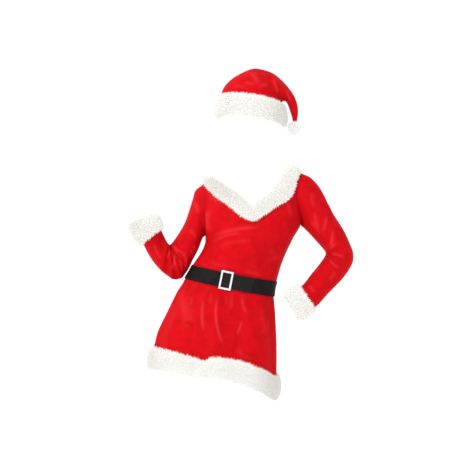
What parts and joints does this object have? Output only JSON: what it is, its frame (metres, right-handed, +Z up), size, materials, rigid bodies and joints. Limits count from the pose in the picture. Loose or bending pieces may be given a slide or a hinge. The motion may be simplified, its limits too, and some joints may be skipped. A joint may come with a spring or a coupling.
{
  "type": "christmas costume dress with hat",
  "caption": "Red velour costume dress with plush neck, cuffs and hem, a black belt with a plain frame buckle, and a matching soft hat with a plush rim and pompom.",
  "frame": {"origin": "between the wearer's shoulders, on the middle plane of the neck opening", "axes": "+X to the right as seen from the front, +Y to the back, +Z up"},
  "size_m": [0.7793, 0.4016, 1.1554],
  "materials": {
    "velour": "short red pile with a soft sheen",
    "plush": "long off-white pile",
    "strap": "smooth black coated cloth, satin",
    "metal": "bright plated"
  },
  "bodies": {
    "root": {"bodice_front": "velour", "bodice_back": "velour", "skirt_front": "velour", "skirt_back": "velour", "sleeve_left": "velour", "sleeve_right": "velour", "hat_crown": "velour", "neck_band": "plush", "cuff_left": "plush", "cuff_right": "plush", "hem_band": "plush", "hat_band": "plush", "hat_pompom": "plush", "belt_strap": "strap", "buckle": "metal"}
  },
  "joints": []
}
